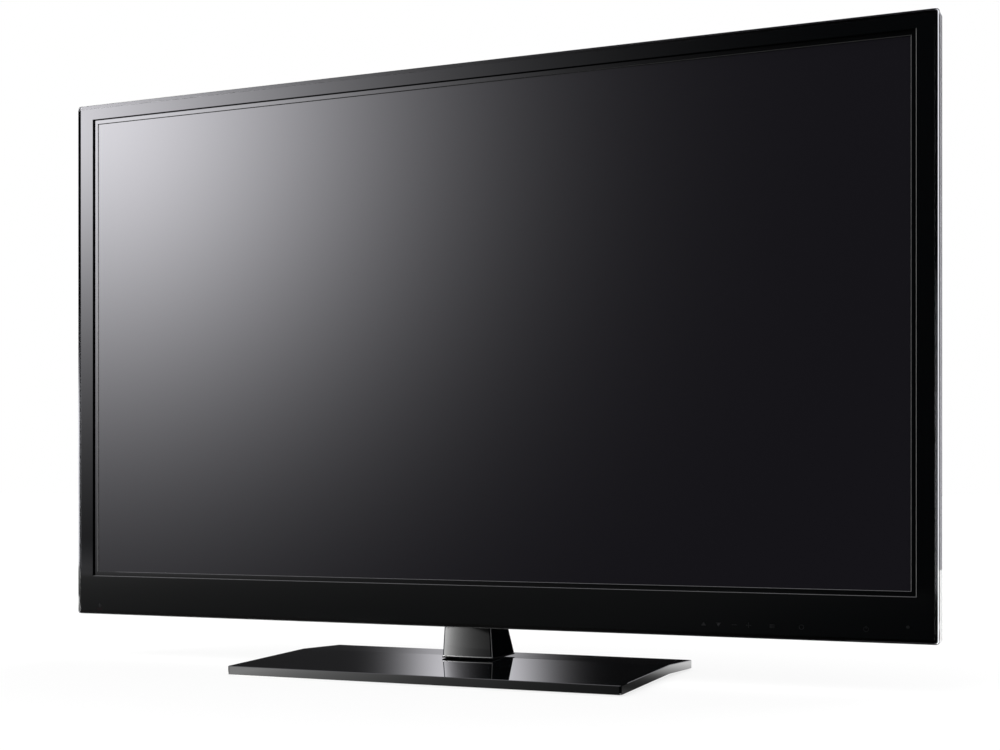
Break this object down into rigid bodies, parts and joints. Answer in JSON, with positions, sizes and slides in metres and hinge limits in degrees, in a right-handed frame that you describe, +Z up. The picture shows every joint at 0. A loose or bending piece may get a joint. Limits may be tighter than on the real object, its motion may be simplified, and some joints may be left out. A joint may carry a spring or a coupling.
{
  "type": "plasma television",
  "caption": "Flat-panel plasma television with a gloss black frame, clear rim and pressed back cover, on a swivel stand with a tapered neck and a shallow bent base.",
  "frame": {"origin": "on the floor, under the middle of the base's footprint", "axes": "+X to the viewer's right, the screen faces -Y, +Z up"},
  "size_m": [1.1714, 0.29, 0.7678],
  "materials": {
    "gloss_black": "polished black moulding",
    "clear_rim": "clear polished rim over a silver backing",
    "black_band": "satin black",
    "filter_glass": "smoked tempered glass",
    "panel_glass": "glass plate",
    "dark_lens": "dark clear plastic window",
    "painted_steel": "fine textured black powder coat",
    "plated_steel": "zinc-plated pressed steel",
    "dark_screws": "black-plated screws",
    "board_fixings": "bright-plated screws",
    "aluminium": "bare sheet and extrusion",
    "rubber": "moulded rubber",
    "graphite": "graphite heat-spreading sheet",
    "gasket": "conductive cloth over foam",
    "bearing_plastic": "natural low-friction plastic",
    "circuit_board": "lacquered circuit board",
    "components": "moulded component bodies",
    "amber_film": "amber flexible circuit",
    "white_ribbon": "white flat cable",
    "wire": "insulated leads",
    "black_plastic": "satin black moulding",
    "socket_metal": "nickel-plated shells"
  },
  "bodies": {
    "stand": {"base_cover": "gloss_black", "base_plate": "plated_steel", "base_feet": "rubber", "base_screws": "dark_screws", "swivel_bush": "bearing_plastic", "swivel_stop_pin": "plated_steel"},
    "display": {"ac_inlet": "black_plastic", "address_board_left": "circuit_board", "address_board_right": "circuit_board", "address_ribbons": "amber_film", "board_chips": "components", "board_screws": "board_fixings", "board_standoffs": "plated_steel", "chassis_plate": "aluminium", "chassis_rails": "plated_steel", "control_board": "circuit_board", "digital_sockets": "socket_metal", "edge_trim": "clear_rim", "filter_gasket": "gasket", "front_bezel": "gloss_black", "front_filter_glass": "filter_glass", "heat_sinks": "aluminium", "inner_trim": "black_band", "main_board": "circuit_board", "neck_foot": "gloss_black", "neck_front_cover": "gloss_black", "neck_post": "plated_steel", "neck_rear_cover": "gloss_black", "panel_brackets": "plated_steel", "panel_front_glass": "panel_glass", "panel_rear_glass": "panel_glass", "panel_side_ribbons": "amber_film", "post_screws": "dark_screws", "power_capacitors": "components", "power_supply_board": "circuit_board", "power_transformers": "components", "rear_cover": "painted_steel", "rear_cover_screws": "dark_screws", "rear_jack_panel": "plated_steel", "round_sockets": "socket_metal", "scan_board_lower": "circuit_board", "scan_board_upper": "circuit_board", "sensor_board": "circuit_board", "sensor_lens": "dark_lens", "side_jack_panel": "black_plastic", "signal_ribbon": "white_ribbon", "speaker_left": "black_plastic", "speaker_right": "black_plastic", "stand_bolts": "dark_screws", "stand_bracket": "plated_steel", "swivel_nut": "plated_steel", "swivel_spindle": "plated_steel", "swivel_washer": "plated_steel", "thermal_sheet": "graphite", "touch_key_board": "circuit_board", "vga_socket": "socket_metal", "wall_mount_bosses": "plated_steel", "wire_harness": "wire", "y_sustain_board": "circuit_board", "z_sustain_board": "circuit_board"}
  },
  "joints": [
    {"name": "stand_swivel", "type": "hinge", "parent": "stand", "child": "display", "pos_m": [0, 0.0468, 0.008], "axis": [0, 0, 1], "range_deg": [-20, 20]}
  ]
}
